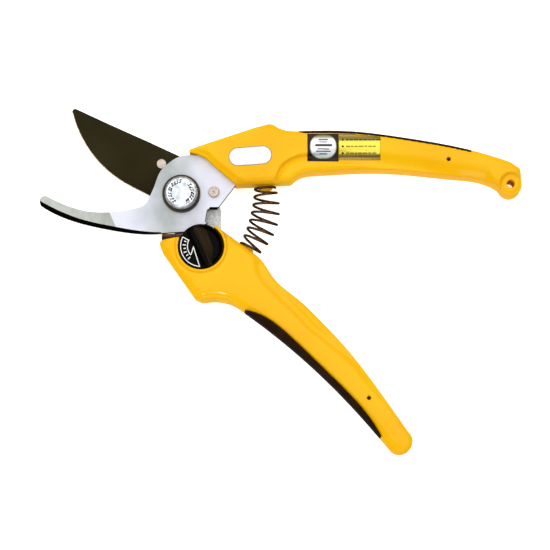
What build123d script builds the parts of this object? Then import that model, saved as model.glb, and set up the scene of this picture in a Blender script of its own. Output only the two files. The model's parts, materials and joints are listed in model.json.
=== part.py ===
"""Bypass pruner: hook plate and cutting blade on one pivot, two moulded handles, a spring and a lock dial.

The tool lies flat with its jaws and handles open. +Z is the pivot axis. The origin is on that axis, in the
plane that the tool rests on. +X runs along the upper handle and the jaws point towards -X. Millimetres.
"""

from build123d import *
import math
import os

# Layers, from the resting plane up
THICKNESS = 20.0
MID_Z = THICKNESS / 2
HEAD_TOP = 3.2
CARRIER_Z = (4.0, 7.0)
BLADE_Z = (7.0, 9.7)
PLATE_Z = (10.0, 14.0)
RING_Z = (14.0, 15.2)
NUT_Z = (15.2, 20.0)

# Pivot
BOLT_R = 4.0
BORE_R = 4.05
HEX_FLATS = 13.0
RING_R = 8.2
NUT_R = 7.0
SHANK_TOP = NUT_Z[1] - 1.2
CLOSING_ANGLE = 39.0

# The hook's outer edge and the blade's cutting edge, from the tip towards the pivot
HOOK_BACK = ((-60.6, -4.9), (-53.5, -8.9), (-42.0, -12.9), (-30.4, -15.4), (-19.0, -17.0), (-8.6, -17.0))
CUTTING_EDGE = ((-47.4, 35.9), (-43.4, 25.2), (-36.3, 14.8), (-25.8, 5.9), (-20.1, 2.7), (-12.6, -1.1))
BEVEL_DEPTH = 1.8

# Stop rivet, fixed in the hook plate, its tail in a window of the blade
STOP_AT = (14.0, 0.7)
STOP_R = 1.5
STOP_HEAD_R = 2.35
STOP_SLACK = 0.7
WINDOW_R = 12.2
STOP_LOBE_R = 15.5
HIDDEN_LOBE_R = 14.8

# Blade rivets
RIVETS_AT = ((-8.7, 13.6), (-9.3, -9.3))
RIVET_R = 2.05
RIVET_HEAD_R = 3.2

# Lock dial
DIAL_AT = (8.6, -23.3)
DIAL_R = 9.65
DIAL_Z = (14.3, 19.8)
SEAT_R = 9.95
LIP_R = 11.1
LIP_TOP = 20.8
GRIP_TOP = 21.4
GRIP_WIDTH = 4.4
GRIP_ANGLE = -64.0
CAM_Z = (10.2, 13.8)
CAM_REACH = 9.2
CAM_HUB_R = 4.6
CAM_OPEN_ANGLE = 206.0
CAM_SWEEP_R = 9.6
SPINDLE_R = 2.5
SPINDLE_BORE_R = 2.55
SPINDLE_TOP = DIAL_Z[0] + 3.5
CLIP_POCKET_R = 5.6
CLIP_R = 3.9
CLIP_GROOVE = 0.3
CLIP_Z = (2.8, 3.4)
WAVE_Z = (3.4, 4.0)

# Return spring, wound between a boss on each handle
WIRE_R = 0.55
COIL_R = 5.4
TURNS = 6.5
SPRING_FROM = (35.9, 1.2)
SPRING_TO = (30.2, -21.2)
BOSS_R = 3.2
UPPER_BOSS_TIP = (36.2, 1.9)
LOWER_BOSS_TIP = (28.9, -22.4)
UPPER_SEAT_NORMAL = (0, -1)
LOWER_SEAT_NORMAL = (0.62, 0.78)
BOSS_LENGTH = 4.5

# Handles
EDGE_ROUND = 3.6
EYE_AT = (141.6, 3.9)
EYE_R = 1.7
EYE_RIM = 0.5
BUMPER_AT = (-4.3, -18.5, 10.4)
BUMPER_SIZE = (8.2, 2.6, 5.6)
UPPER_PIN_AT = (114.9, 14.4)
LOWER_PIN_AT = (80.4, -88.3)
PIN_R = 0.95
PIN_Z = (0.4, 17.0)
PRINT = 0.2
ARROW_LINE = 0.38


def polar(radius, degrees, centre=(0, 0)):
    """The point at a radius and an angle from a centre."""
    turn = math.radians(degrees)
    return (centre[0] + radius * math.cos(turn), centre[1] + radius * math.sin(turn))


def closed_face(start, *moves):
    """A face from a start point and its moves: a line's end, an arc's middle and end, or a curve's points."""
    edges = []
    here = start
    for kind, *points in moves:
        if kind == "line":
            edges.append(Line(here, points[0]))
        elif kind == "arc":
            edges.append(ThreePointArc(here, *points))
        else:
            edges.append(Spline(here, *points))
        here = points[-1]
    if math.dist(here, start) > 1e-6:
        edges.append(Line(here, start))
    return make_face(edges)


def slab(face, low, high):
    """A flat face made solid between two heights."""
    return Pos(0, 0, low) * extrude(face, high - low)


def disc(radius, low, high, at=(0, 0)):
    """An upright cylinder between two heights."""
    upright = (Align.CENTER, Align.CENTER, Align.MIN)
    return Pos(at[0], at[1], low) * Cylinder(radius, high - low, align=upright)


def edges_at(solid, height):
    """The edges of a solid that lie flat at one height."""
    return solid.edges().filter_by_position(Axis.Z, height, height)


def outer_edges(solid, height, keep):
    """The flat edges at one height whose middle passes a test."""
    return [edge for edge in edges_at(solid, height) if keep(edge @ 0.5)]


def hook_plate():
    """The bright counter blade and its tang, with the notch that the lock cam catches."""
    cut_start = polar(CAM_SWEEP_R, 132.5, DIAL_AT)
    cut_middle = polar(CAM_SWEEP_R, 108, DIAL_AT)
    cut_end = polar(CAM_SWEEP_R, 84, DIAL_AT)
    face = closed_face(
        (6.4, 16.6),
        ("curve", (2.4, 16.8), (-2.2, 15.6), (-5.7, 13.2), (-8.9, 10.0), (-11.7, 3.2), (-13.5, -0.9),
         (-15.2, -4.1), (-21.2, -6.6), (-30.4, -7.9), (-40.8, -7.5), (-51.2, -4.3), (-57.4, -1.3)),
        ("arc", (-60.0, -1.2), (-61.0, -3.6)),
        ("line", HOOK_BACK[0]),
        ("curve", *HOOK_BACK[1:]),
        ("line", cut_start),
        ("arc", cut_middle, cut_end),
        ("line", (11.3, -12.7)),
        ("line", (10.4, -12.1)),
        ("line", (11.2, -7.4)),
        ("line", (11.7, -6.6)),
        ("line", (15.3, -6.6)),
        ("line", (23.1, 3.6)),
        ("line", (30.0, 7.5)),
        ("curve", (44.0, 11.5), (60.0, 13.0), (90.0, 12.6), (118.0, 11.0)),
        ("line", (119.0, 17.0)),
        ("curve", (90.0, 20.0), (60.0, 22.5), (38.0, 23.5), (20.0, 19.5)),
    )
    plate = slab(face, *PLATE_Z) - disc(BORE_R, *PLATE_Z) - disc(STOP_R, *PLATE_Z, at=STOP_AT)
    plate -= disc(PIN_R, *PLATE_Z, at=UPPER_PIN_AT)
    shoulder = outer_edges(plate, PLATE_Z[1], lambda at: 12 < at.X < 15 and at.Y < -6)
    return chamfer(shoulder, 0.9) - hook_bevel()


def hook_bevel():
    """Ruled wedge that bevels the hook's outer edge, wide at the tip and fading towards the pivot."""
    outside = (("line", (-8.0, -26.0)), ("line", (-61.6, -26.0)))
    low = closed_face((-61.6, -3.6), ("line", HOOK_BACK[0]), ("curve", *HOOK_BACK[1:]), *outside)
    high = closed_face(
        (-61.6, -2.6),
        ("line", (-60.2, -3.3)),
        ("curve", (-53.5, -6.8), (-42.0, -11.2), (-30.4, -13.8), (-19.0, -15.8), (-8.6, -16.6)),
        *outside,
    )
    return loft([Pos(0, 0, PLATE_Z[1] - BEVEL_DEPTH) * low, Pos(0, 0, PLATE_Z[1] + 0.05) * high], ruled=True)


def cutting_blade():
    """The dark blade, its heel a disc round the pivot with a window for the stop rivet's tail."""
    half_pin = math.degrees(math.asin(STOP_R / math.hypot(*STOP_AT)))
    rest = math.degrees(math.atan2(STOP_AT[1], STOP_AT[0]))
    open_stop = rest + half_pin + STOP_SLACK
    shut_stop = rest - CLOSING_ANGLE - half_pin - STOP_SLACK
    face = closed_face(
        CUTTING_EDGE[0],
        ("arc", (-47.1, 37.2), (-45.6, 37.5)),
        ("curve", (-32.8, 31.5), (-15.5, 23.7)),
        ("line", (0.1, 16.4)),
        ("arc", polar(15.8, 45), polar(STOP_LOBE_R, open_stop)),
        ("line", polar(WINDOW_R, open_stop)),
        ("arc", polar(WINDOW_R, (open_stop + shut_stop) / 2), polar(WINDOW_R, shut_stop)),
        ("line", polar(HIDDEN_LOBE_R, shut_stop)),
        ("arc", polar(HIDDEN_LOBE_R, -95), polar(HIDDEN_LOBE_R, -150)),
        ("line", CUTTING_EDGE[-1]),
        ("curve", *reversed(CUTTING_EDGE[:-1])),
    )
    blade = slab(face, *BLADE_Z) - disc(BORE_R, *BLADE_Z)
    for at in RIVETS_AT:
        blade -= disc(RIVET_R, *BLADE_Z, at=at)
    return blade - blade_bevel()


def blade_bevel():
    """Ruled wedge that grinds the back of the blade down to its cutting edge."""
    far = (("line", (-12.0, -14.0)), ("line", (-62.0, -14.0)), ("line", (-62.0, 35.9)))
    low = closed_face(
        (-45.4, 38.0),
        ("curve", (-39.6, 26.4), (-32.7, 17.2), (-23.6, 9.4), (-18.8, 6.0), (-12.0, -0.6)),
        *far,
    )
    high = closed_face(CUTTING_EDGE[0], ("curve", *CUTTING_EDGE[1:]), *far)
    return loft([Pos(0, 0, BLADE_Z[0] - 0.05) * low, Pos(0, 0, BLADE_Z[1] - 0.3) * high], ruled=True)


def blade_carrier():
    """The grey steel plate that carries the blade and runs on into the lower handle as its tang."""
    lobes = [SlotCenterPoint((at[0] / 2, at[1] / 2), at, 9.2) for at in RIVETS_AT]
    tang = closed_face(
        (-4.0, -10.0),
        ("line", (16.0, -3.5)),
        ("line", (17.0, -6.5)),
        ("line", (17.0, -17.0)),
        ("curve", (30.0, -34.0), (46.0, -48.7), (68.5, -69.0), (84.5, -89.0)),
        ("line", (80.0, -93.0)),
        ("curve", (62.5, -74.8), (40.0, -54.7), (20.0, -41.0), (4.0, -33.0)),
        ("line", (-2.0, -24.0)),
    )
    face = Circle(12.5) + tang + lobes
    carrier = slab(face, *CARRIER_Z) - disc(BORE_R, *CARRIER_Z)
    carrier -= disc(SPINDLE_BORE_R, *CARRIER_Z, at=DIAL_AT)
    carrier -= disc(PIN_R, *CARRIER_Z, at=LOWER_PIN_AT)
    for at in RIVETS_AT:
        carrier -= disc(RIVET_R, *CARRIER_Z, at=at)
    return carrier


def blade_rivets():
    """Two rivets: flush with the blade's face, headed behind the carrier."""
    rivets = []
    for at in RIVETS_AT:
        head = disc(RIVET_HEAD_R, HEAD_TOP, CARRIER_Z[0], at=at)
        head = chamfer(edges_at(head, HEAD_TOP), 0.35)
        rivets.append(head + disc(RIVET_R, CARRIER_Z[0], BLADE_Z[1], at=at))
    return rivets


def stop_rivet():
    """The rivet that stands proud of the plate and stops the blade at both ends of its swing."""
    head = disc(STOP_HEAD_R, PLATE_Z[1], PLATE_Z[1] + 1.5, at=STOP_AT)
    head = fillet(edges_at(head, PLATE_Z[1] + 1.5), 0.5)
    return head + disc(STOP_R, BLADE_Z[0] + 0.3, PLATE_Z[1], at=STOP_AT)


def pivot_bolt():
    """Hexagon bolt, its head at the back and its shank up into the cap nut."""
    head = slab(RegularPolygon(HEX_FLATS / 2, 6, major_radius=False), 0, HEAD_TOP)
    head &= chamfer(edges_at(disc(7.3, 0, HEAD_TOP), 0), 0.6)
    return head + disc(BOLT_R, HEAD_TOP, SHANK_TOP)


def pivot_nut():
    """Round cap nut with a low crown."""
    cap = disc(NUT_R, *NUT_Z)
    cap = chamfer(edges_at(cap, NUT_Z[1]), 0.8)
    return cap - disc(BOLT_R, NUT_Z[0], SHANK_TOP)


def washer(outer, inner, low, high, at=(0, 0)):
    """A flat ring."""
    return disc(outer, low, high, at=at) - disc(inner, low, high, at=at)


def circlip():
    """Spring clip in the spindle's groove, open on one side."""
    ring = washer(CLIP_R, SPINDLE_R - CLIP_GROOVE, *CLIP_Z, at=DIAL_AT)
    gap = Pos(DIAL_AT[0], DIAL_AT[1] - CLIP_R, sum(CLIP_Z) / 2) * Box(2.4, CLIP_R, 2.0)
    return ring - gap


def lock_spindle():
    """Pin that joins the dial to its cam, with a groove for the clip."""
    pin = disc(SPINDLE_R, CLIP_Z[0] - 0.6, SPINDLE_TOP, at=DIAL_AT)
    return pin - washer(SPINDLE_R + 1, SPINDLE_R - CLIP_GROOVE, *CLIP_Z, at=DIAL_AT)


def lock_cam():
    """Steel cam under the dial. Its nose swings into the plate's notch when the jaws are shut."""
    nose_half_angle = 9.0
    nose = closed_face(
        polar(3.0, CAM_OPEN_ANGLE + 70, DIAL_AT),
        ("line", polar(CAM_REACH, CAM_OPEN_ANGLE + nose_half_angle, DIAL_AT)),
        ("arc", polar(CAM_REACH, CAM_OPEN_ANGLE, DIAL_AT),
         polar(CAM_REACH, CAM_OPEN_ANGLE - nose_half_angle, DIAL_AT)),
        ("line", polar(3.0, CAM_OPEN_ANGLE - 70, DIAL_AT)),
    )
    cam = slab(nose, *CAM_Z) + disc(CAM_HUB_R, *CAM_Z, at=DIAL_AT)
    return cam - disc(SPINDLE_R, *CAM_Z, at=DIAL_AT)


def lock_dial():
    """Black thumb dial with a raised bar across it."""
    dial = disc(DIAL_R, *DIAL_Z)
    dial = fillet(edges_at(dial, DIAL_Z[1]), 0.7)
    bar = Rot(0, 0, GRIP_ANGLE) * Box(2 * DIAL_R - 1.5, GRIP_WIDTH, GRIP_TOP - DIAL_Z[0] - 1,
                                      align=(Align.CENTER, Align.CENTER, Align.MAX))
    bar = Pos(0, 0, GRIP_TOP) * bar
    bar = fillet(edges_at(bar, GRIP_TOP), 0.9)
    dial = Pos(*DIAL_AT, 0) * (dial + (bar & disc(DIAL_R - 0.4, 0, GRIP_TOP)))
    return dial - disc(SPINDLE_R, DIAL_Z[0], SPINDLE_TOP, at=DIAL_AT)


def dial_arrow():
    """Printed outline arrow round the dial's left rim, its head at the lower end."""
    start, neck, tip = 152.0, 218.0, 268.0
    shape = closed_face(
        polar(8.9, start),
        ("arc", polar(8.9, (start + tip) / 2), polar(8.9, tip)),
        ("line", polar(3.2, 176)),
        ("line", polar(5.6, neck)),
        ("arc", polar(5.6, (start + neck) / 2), polar(5.6, start)),
    )
    inner = offset(shape, amount=-ARROW_LINE)
    print_face = Pos(*DIAL_AT, 0) * (shape - inner)
    return slab(print_face, DIAL_Z[1], DIAL_Z[1] + PRINT) - lock_dial()


def upper_outline():
    """The upper handle seen from above: wedge head, grip, and the hang eye at its end."""
    return closed_face(
        (3.4, 18.7),
        ("line", (36.4, 29.7)),
        ("arc", (39.3, 29.8), (41.3, 28.5)),
        ("curve", (45.6, 27.1), (52.0, 26.9), (73.2, 26.8), (96.2, 24.0), (117.0, 20.4), (141.5, 13.5)),
        ("line", (145.8, 10.6)),
        ("line", (146.4, 4.2)),
        ("arc", (142.0, -1.3), (136.8, 2.0)),
        ("curve", (133.3, 4.1), (115.8, 7.4), (98.6, 9.2), (75.0, 9.9), (58.7, 9.0), (51.0, 7.7),
         (47.4, 4.8)),
        ("line", (23.5, 3.5)),
        ("line", (12.8, 12.8)),
        ("curve", (9.4, 15.7), (3.4, 17.6)),
    )


def lower_outline():
    """The lower handle seen from above: head round the dial, grip, and rounded end."""
    return closed_face(
        (-9.4, -21.7),
        ("line", (-8.2, -20.2)),
        ("line", (-1.1, -19.1)),
        ("arc", (7.2, -18.3), (15.0, -15.0)),
        ("line", (17.0, -15.6)),
        ("line", (30.4, -25.5)),
        ("curve", (35.4, -30.0), (39.6, -36.4), (49.8, -45.4), (59.7, -54.8), (70.6, -66.5), (84.6, -84.6),
         (97.2, -102.6)),
        ("arc", (97.6, -110.4), (90.2, -110.8)),
        ("curve", (85.2, -104.8), (71.6, -89.5), (49.6, -68.4), (27.0, -50.7)),
        ("curve", (22.4, -47.7), (9.2, -46.6)),
        ("line", (6.1, -45.2)),
        ("line", (-7.9, -25.3)),
    )


def upper_strip():
    """Prism that takes the rubber strip out of the back of the upper handle."""
    face = closed_face(
        (50.4, 26.4),
        ("curve", (56.0, 25.4), (73.2, 25.1), (96.2, 22.3), (112.0, 19.7), (124.6, 17.4)),
        ("line", (127.0, 30.0)),
        ("line", (50.4, 35.0)),
    )
    return slab(face, 2.5, THICKNESS - 1.0)


def lower_strip():
    """Prism that takes the rubber strip out of the back of the lower handle."""
    face = closed_face(
        (27.6, -50.6),
        ("curve", (31.5, -51.6), (49.6, -64.6), (66.0, -80.5), (81.4, -97.8), (85.6, -104.7)),
        ("line", (78.0, -112.0)),
        ("line", (20.0, -60.0)),
    )
    return slab(face, -1.0, THICKNESS + 1.0)


def spring_boss(tip, direction):
    """Peg that keeps a spring's end on its seat: its tip, and the direction that it points in."""
    peg = disc(BOSS_R, -BOSS_LENGTH, 0)
    peg = chamfer(edges_at(peg, 0), 0.5)
    return Plane(origin=(*tip, MID_Z), z_dir=(*direction, 0)) * peg


def rounded(solid, keep):
    """The solid with its long top and bottom edges rounded, where their middle passes a test."""
    edges = outer_edges(solid, THICKNESS, keep) + outer_edges(solid, 0, keep)
    return fillet(edges, EDGE_ROUND)


def hang_eye():
    """The hang hole's shape, countersunk at both ends, its seam away from the handle's rounded end."""
    rim = Cone(EYE_R, EYE_R + 3 * EYE_RIM, 3 * EYE_RIM, align=(Align.CENTER, Align.CENTER, Align.MIN))
    hole = disc(EYE_R, -1, THICKNESS + 1)
    hole += Pos(0, 0, THICKNESS - EYE_RIM) * rim
    hole += Pos(0, 0, EYE_RIM) * Rot(180, 0, 0) * rim
    return Pos(*EYE_AT, 0) * Rot(0, 0, 90) * hole


def upper_body():
    """The upper handle before anything is let into it."""
    handle = slab(upper_outline(), 0, THICKNESS)
    handle = rounded(handle, lambda at: not (at.X < 24 and at.Y < 18.2))
    return handle - hang_eye() + spring_boss(UPPER_BOSS_TIP, UPPER_SEAT_NORMAL)


def lower_body():
    """The lower handle before anything is let into it."""
    handle = slab(lower_outline(), 0, THICKNESS)
    handle = rounded(handle, lambda at: not (at.X < 17 and at.Y > -19.8))
    handle += spring_boss(LOWER_BOSS_TIP, LOWER_SEAT_NORMAL)
    lip = disc(LIP_R, MID_Z, LIP_TOP, at=DIAL_AT) - disc(20.3, 0, THICKNESS * 2)
    handle += chamfer(outer_edges(lip, LIP_TOP, lambda at: math.dist((at.X, at.Y), DIAL_AT) > 11), 0.4)
    handle -= disc(SEAT_R, CAM_Z[0] - 0.2, LIP_TOP + 1, at=DIAL_AT)
    handle -= disc(SPINDLE_BORE_R, 0, THICKNESS, at=DIAL_AT)
    handle -= disc(CLIP_POCKET_R, -1, CARRIER_Z[0], at=DIAL_AT)
    return handle


def bumper():
    """Brown cushion on top of the lower handle, under the plate's edge."""
    return Pos(*BUMPER_AT) * Box(*BUMPER_SIZE)


def return_spring():
    """Round wire wound in a coil from seat to seat."""
    run = Vector(*SPRING_TO, 0) - Vector(*SPRING_FROM, 0)
    length = run.length
    coil = Helix(length / TURNS, length, COIL_R)
    wire = sweep(Plane(coil @ 0, z_dir=coil % 0) * Circle(WIRE_R), coil, is_frenet=True)
    seat = Plane(origin=(*SPRING_FROM, MID_Z), z_dir=run.normalized())
    return seat * wire


def badge():
    """Blank oval badge on the upper handle's head."""
    face = Rot(0, 0, 4.5) * SlotOverall(18.5, 7.9)
    return Pos(29.7, 15.7, 0) * slab(face, THICKNESS - PRINT, THICKNESS + PRINT)


def label(x_low, x_high, handle):
    """A printed patch on the grip's flat front, from one end to the other."""
    face = Pos((x_low + x_high) / 2, 17.4) * Rectangle(x_high - x_low, 10.4)
    return slab(face, THICKNESS - 4, THICKNESS + PRINT) - handle


def build():
    """Every sub-part by its node's name."""
    plate = hook_plate()
    carrier = blade_carrier()
    blade = cutting_blade()
    upper = upper_body()
    lower = lower_body()
    upper_inlay = upper & upper_strip()
    lower_inlay = lower & lower_strip()
    upper -= [upper_strip(), plate, disc(PIN_R, PIN_Z[0], THICKNESS + 1, at=UPPER_PIN_AT), badge()]
    lower -= [lower_strip(), carrier, bumper(), disc(PIN_R, PIN_Z[0], THICKNESS + 1, at=LOWER_PIN_AT)]
    seal = disc(5.5, THICKNESS + PRINT, THICKNESS + 2 * PRINT, at=(61.0, 19.0))
    seal &= Pos(61.0, 17.4, THICKNESS) * Box(12.6, 10.0, 4.0)
    return {
        "hook_plate": plate,
        "cutting_blade": blade,
        "blade_carrier": carrier,
        "blade_rivets": blade_rivets(),
        "stop_rivet": stop_rivet(),
        "pivot_bolt": pivot_bolt(),
        "pivot_nut": pivot_nut(),
        "pivot_ring": washer(RING_R, BORE_R, *RING_Z),
        "pivot_disc": washer(11.5, BORE_R, BLADE_Z[1], PLATE_Z[0]),
        "back_washer": washer(8.5, BORE_R, HEAD_TOP, CARRIER_Z[0]),
        "upper_handle": upper,
        "upper_grip_inlay": upper_inlay,
        "upper_tang_pin": disc(PIN_R, *PIN_Z, at=UPPER_PIN_AT),
        "upper_badge": badge(),
        "label_dark": label(54.3, 67.7, upper),
        "label_gold": label(67.7, 85.6, upper),
        "label_seal": seal,
        "lower_handle": lower,
        "lower_grip_inlay": lower_inlay,
        "lower_tang_pin": disc(PIN_R, *PIN_Z, at=LOWER_PIN_AT),
        "bumper": bumper(),
        "lock_dial": lock_dial(),
        "dial_arrow": dial_arrow(),
        "lock_cam": lock_cam(),
        "lock_spindle": lock_spindle(),
        "lock_wave_washer": washer(4.6, SPINDLE_BORE_R, *WAVE_Z, at=DIAL_AT),
        "lock_circlip": circlip(),
        "return_spring": return_spring(),
    }


os.makedirs("parts", exist_ok=True)
for node, shape in build().items():
    solids = shape if isinstance(shape, list) else shape.solids()
    export_step(Compound(children=list(solids)), f"parts/{node}.step")
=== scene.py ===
"""Looks of the bypass pruner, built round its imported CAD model. Lengths in this file are millimetres.

The frame is the CAD's: the origin is on the pivot axis in the plane that the tool rests on, +Z is the pivot
axis and +X runs along the upper handle.
"""

import bmesh
import bpy
import json
import math
import numpy as np
import random
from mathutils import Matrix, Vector
from mathutils.bvhtree import BVHTree


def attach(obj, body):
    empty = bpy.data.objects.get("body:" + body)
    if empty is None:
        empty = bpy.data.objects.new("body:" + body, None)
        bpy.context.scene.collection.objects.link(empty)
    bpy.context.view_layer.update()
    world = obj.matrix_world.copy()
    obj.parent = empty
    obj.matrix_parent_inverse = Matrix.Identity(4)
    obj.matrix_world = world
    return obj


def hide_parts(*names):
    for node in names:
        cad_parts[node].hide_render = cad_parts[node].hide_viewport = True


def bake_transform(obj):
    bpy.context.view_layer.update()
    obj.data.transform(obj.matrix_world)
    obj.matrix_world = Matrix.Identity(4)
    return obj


MM = 0.001

# Heights, as in the CAD model
THICKNESS = 20.0
MID_Z = 10.0
PLATE_TOP = 14.0
BLADE_TOP = 9.7

# How deep below a handle's front, and above its back, its relief still moves the walls, and the back's share
RIM_Z = 5.5
BACK_RIM_Z = RIM_Z - 1.7
BACK_SHARE = 0.6

# Where things are, as in the CAD model
STOP_AT = (14.0, 0.7)
RIVET_AT = (-8.7, 13.6)
DIAL_AT = (8.6, -23.3)
DIAL_R = 9.65
DIAL_TOP = 19.8
NUT_TOP = 20.0
EYE_AT = (141.6, 3.9)
# The cushion's painted shade starts below this height
BUMPER_SHADE_BELOW = -18.4
LABEL_LOW = 14.1
LABEL_TOP = 25.3
SEAL_AT = (61.0, 19.8)
BADGE_AT = (29.7, 15.7)
BADGE_TILT = 4.5

# The head's long top edge, whose rounding is shallow on its front
HEAD_EDGE = ((3.4, 18.7), (36.4, 29.7))
HEAD_EDGE_SHARE = 0.3

# Lines of the handles' relief, each with the finger side on its right
FRONT_EDGE = ((24.2, 3.5), (17.8, 8.6), (12.8, 12.8), (9.4, 15.7), (3.4, 17.6))
SWOOSH = ((40.0, 1.5), (40.9, 5.9), (43.9, 11.8), (48.8, 14.8), (52.8, 15.6), (64.0, 14.9), (85.9, 12.6),
          (98.6, 11.3), (110.0, 9.5), (121.6, 7.5), (134.5, 5.0))
SHOULDER = ((98.6, -113.0), (91.6, -102.0), (84.0, -91.5), (80.2, -85.6), (70.8, -74.4), (54.4, -60.8),
            (49.0, -55.1), (40.4, -46.7), (33.2, -39.3), (30.6, -33.5), (30.2, -29.0), (29.6, -22.0))
BACK_EDGE = ((-9.4, -21.7), (-7.9, -25.3), (6.1, -45.2), (9.2, -46.6), (22.4, -47.7), (27.0, -50.7),
             (49.6, -68.4), (71.6, -89.5), (85.2, -104.8), (90.2, -110.8))

# The line where the hook's grind starts: a point on it, and its lean in X for each millimetre in Y
GRIND_AT = (-31.0, -8.0)
GRIND_LEAN = 0.459

# The blade's cutting edge runs between these
EDGE_TIP = (-47.4, 35.9)
EDGE_HEEL = (-12.6, -1.1)

# The plate's edge from the cam's clearance up to its shoulder, the plate on its left
NOTCH_EDGE = ((9.6, -13.75), (11.3, -12.7), (10.4, -12.1), (11.2, -7.4), (11.7, -6.6))

# Dial: the thumb bar's height and direction, and the depth of the scoop beside it
DIAL_BAR = 1.4
DIAL_BAR_TURN = math.radians(-64)
DIAL_SCOOP = 2.6

# Spring: its axis is an arc round the pivot that drifts outward, and its coils are widest half way
SPRING_TURNS = 7
SPRING_ANGLES = (4.5, -39.4)
SPRING_AXIS_R = 36.1
SPRING_DRIFT = 1.3
COIL_R = 4.4
COIL_SWELL = 1.5
WIRE_R = 0.55

# Camera: what it looks at, how far it leans towards the lower handle, and the width that it sees there
VIEW_CENTRE = (40.3, -34.9, 12.0)
VIEW_LEAN = math.radians(5.8)
VIEW_DISTANCE = 1500.0
VIEW_WIDTH = 236.5

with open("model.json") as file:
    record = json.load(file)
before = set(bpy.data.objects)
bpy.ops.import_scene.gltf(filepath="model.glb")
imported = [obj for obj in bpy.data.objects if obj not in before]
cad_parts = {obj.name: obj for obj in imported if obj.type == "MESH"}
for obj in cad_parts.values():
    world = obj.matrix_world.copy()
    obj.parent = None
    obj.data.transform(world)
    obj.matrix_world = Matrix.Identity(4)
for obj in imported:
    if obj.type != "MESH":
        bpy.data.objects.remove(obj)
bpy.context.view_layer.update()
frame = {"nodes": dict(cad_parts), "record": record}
NODES = frame["nodes"]


def smoothstep(low, high, x):
    """0 below low, 1 above high, and a smooth rise between them."""
    t = np.clip((x - low) / (high - low), 0, 1)
    return t * t * (3 - 2 * t)


def smooth_line(points, steps=8):
    """Catmull-Rom points through the given ones."""
    points = [np.array(p, float) for p in points]
    padded = [2 * points[0] - points[1], *points, 2 * points[-1] - points[-2]]
    line = []
    for a, b, c, d in zip(padded, padded[1:], padded[2:], padded[3:]):
        for i in range(steps):
            t = i / steps
            line.append(0.5 * (2 * b + (c - a) * t + (2 * a - 5 * b + 4 * c - d) * t**2
                               + (3 * b - a - 3 * c + d) * t**3))
    return np.array([*line, points[-1]])


def to_line(xy, line):
    """Each point's distance from a line, positive on its right, and its share of the way along, 0 to 1."""
    best = np.full(len(xy), np.inf)
    signed = np.zeros(len(xy))
    share = np.zeros(len(xy))
    runs = np.hypot(*np.diff(line, axis=0).T)
    starts = np.concatenate([[0], np.cumsum(runs)]) / runs.sum()
    for i, (a, b) in enumerate(zip(line, line[1:])):
        run = b - a
        t = np.clip((xy - a) @ run / (run @ run), 0, 1)
        off = xy - a - t[:, None] * run
        gap = np.hypot(*off.T)
        side = np.sign(run[1] * (xy - a)[:, 0] - run[0] * (xy - a)[:, 1])
        near = gap < best
        best[near] = gap[near]
        signed[near] = (side * gap)[near]
        share[near] = (starts[i] + t * (starts[i + 1] - starts[i]))[near]
    return signed, share


def add_mesh(name, vertices, faces, material, smooth=True):
    """A new mesh object from points in millimetres."""
    mesh = bpy.data.meshes.new(name)
    mesh.from_pydata([Vector(v) * MM for v in vertices], [], faces)
    mesh.materials.append(material)
    if smooth:
        mesh.shade_smooth()
    else:
        mesh.shade_flat()
    obj = bpy.data.objects.new(name, mesh)
    bpy.context.scene.collection.objects.link(obj)
    return obj


def read_points(mesh):
    """A mesh's points as rows of millimetres."""
    points = np.empty(len(mesh.vertices) * 3)
    mesh.vertices.foreach_get("co", points)
    return points.reshape(-1, 3) / MM


def write_points(mesh, points):
    """Moves a mesh's points to rows of millimetres."""
    mesh.vertices.foreach_set("co", (points * MM).ravel())
    mesh.update()


def place(obj, body, slot, *replaced):
    """Says which body a piece moves with and the CAD nodes that it stands for; the slot that names its finish
    is not used.
    """
    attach(obj, body)
    if replaced:
        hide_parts(*replaced)
    return obj


# Materials


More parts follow.
